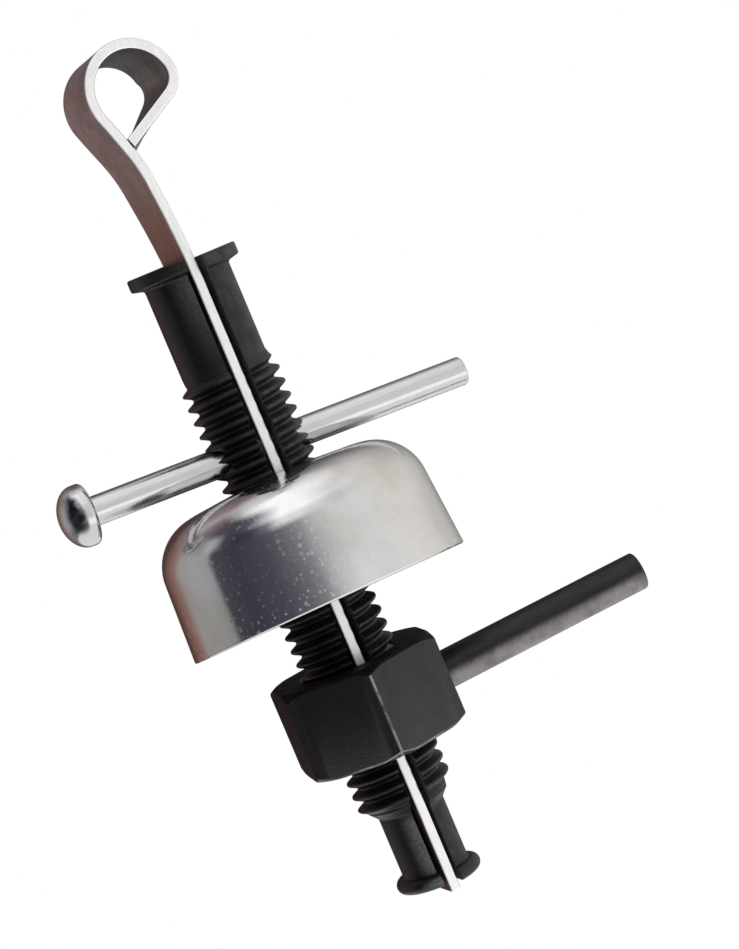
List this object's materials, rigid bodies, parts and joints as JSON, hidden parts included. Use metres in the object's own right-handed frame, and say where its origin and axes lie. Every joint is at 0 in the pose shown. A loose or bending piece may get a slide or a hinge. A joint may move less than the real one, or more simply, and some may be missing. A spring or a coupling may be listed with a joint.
{
  "type": "bearing puller",
  "caption": "Hand puller: split threaded shank lipped at both ends, spread by a flat strip with an eye, under a pressed bell pushed by a hex nut with a rod handle.",
  "frame": {"origin": "on the shank's axis, in the plane of the small lip's shoulder on the left half, where a bearing's inner race seats", "axes": "+Z along the shank towards the eye of the strip; +X square to the saw cut, from the left half to the right half; +Y away from the side that the picture shows"},
  "size_m": [0.0835, 0.0469, 0.1427],
  "materials": {
    "shank_steel": "blackened steel, satin",
    "strip_steel": "bright rolled steel",
    "bar_steel": "bright drawn steel",
    "plated_steel": "polished plating",
    "nut_steel": "blackened steel, matt, edges worn",
    "handle_steel": "dark steel, satin"
  },
  "bodies": {
    "shank": {"half_shank_left": "shank_steel", "half_shank_right": "shank_steel"},
    "strip": {"wedge_strip": "strip_steel"},
    "bar": {"tommy_bar": "bar_steel"},
    "bell": {"bell": "plated_steel"},
    "nut": {"hex_nut": "nut_steel", "nut_handle": "handle_steel"}
  },
  "joints": [
    {"name": "strip_slide", "type": "slide", "parent": "shank", "child": "strip", "axis": [0, 0, 1], "range_m": [0, 0.03]},
    {"name": "bar_slide", "type": "slide", "parent": "shank", "child": "bar", "axis": [0.9987, 0, -0.0506], "range_m": [-0.028, 0.02]},
    {"name": "bell_travel", "type": "slide", "parent": "shank", "child": "bell", "axis": [0, 0, 1], "range_m": [-0.0185, 0.0003]},
    {"name": "nut_turn", "type": "hinge", "parent": "bell", "child": "nut", "pos_m": [0, 0, 0.0283], "axis": [0, 0, 1], "range_deg": [-2880, 36]}
  ],
  "couplings": [
    {"joint": "bell_travel", "follows": "nut_turn", "m_per_rad": 0.0003675}
  ]
}
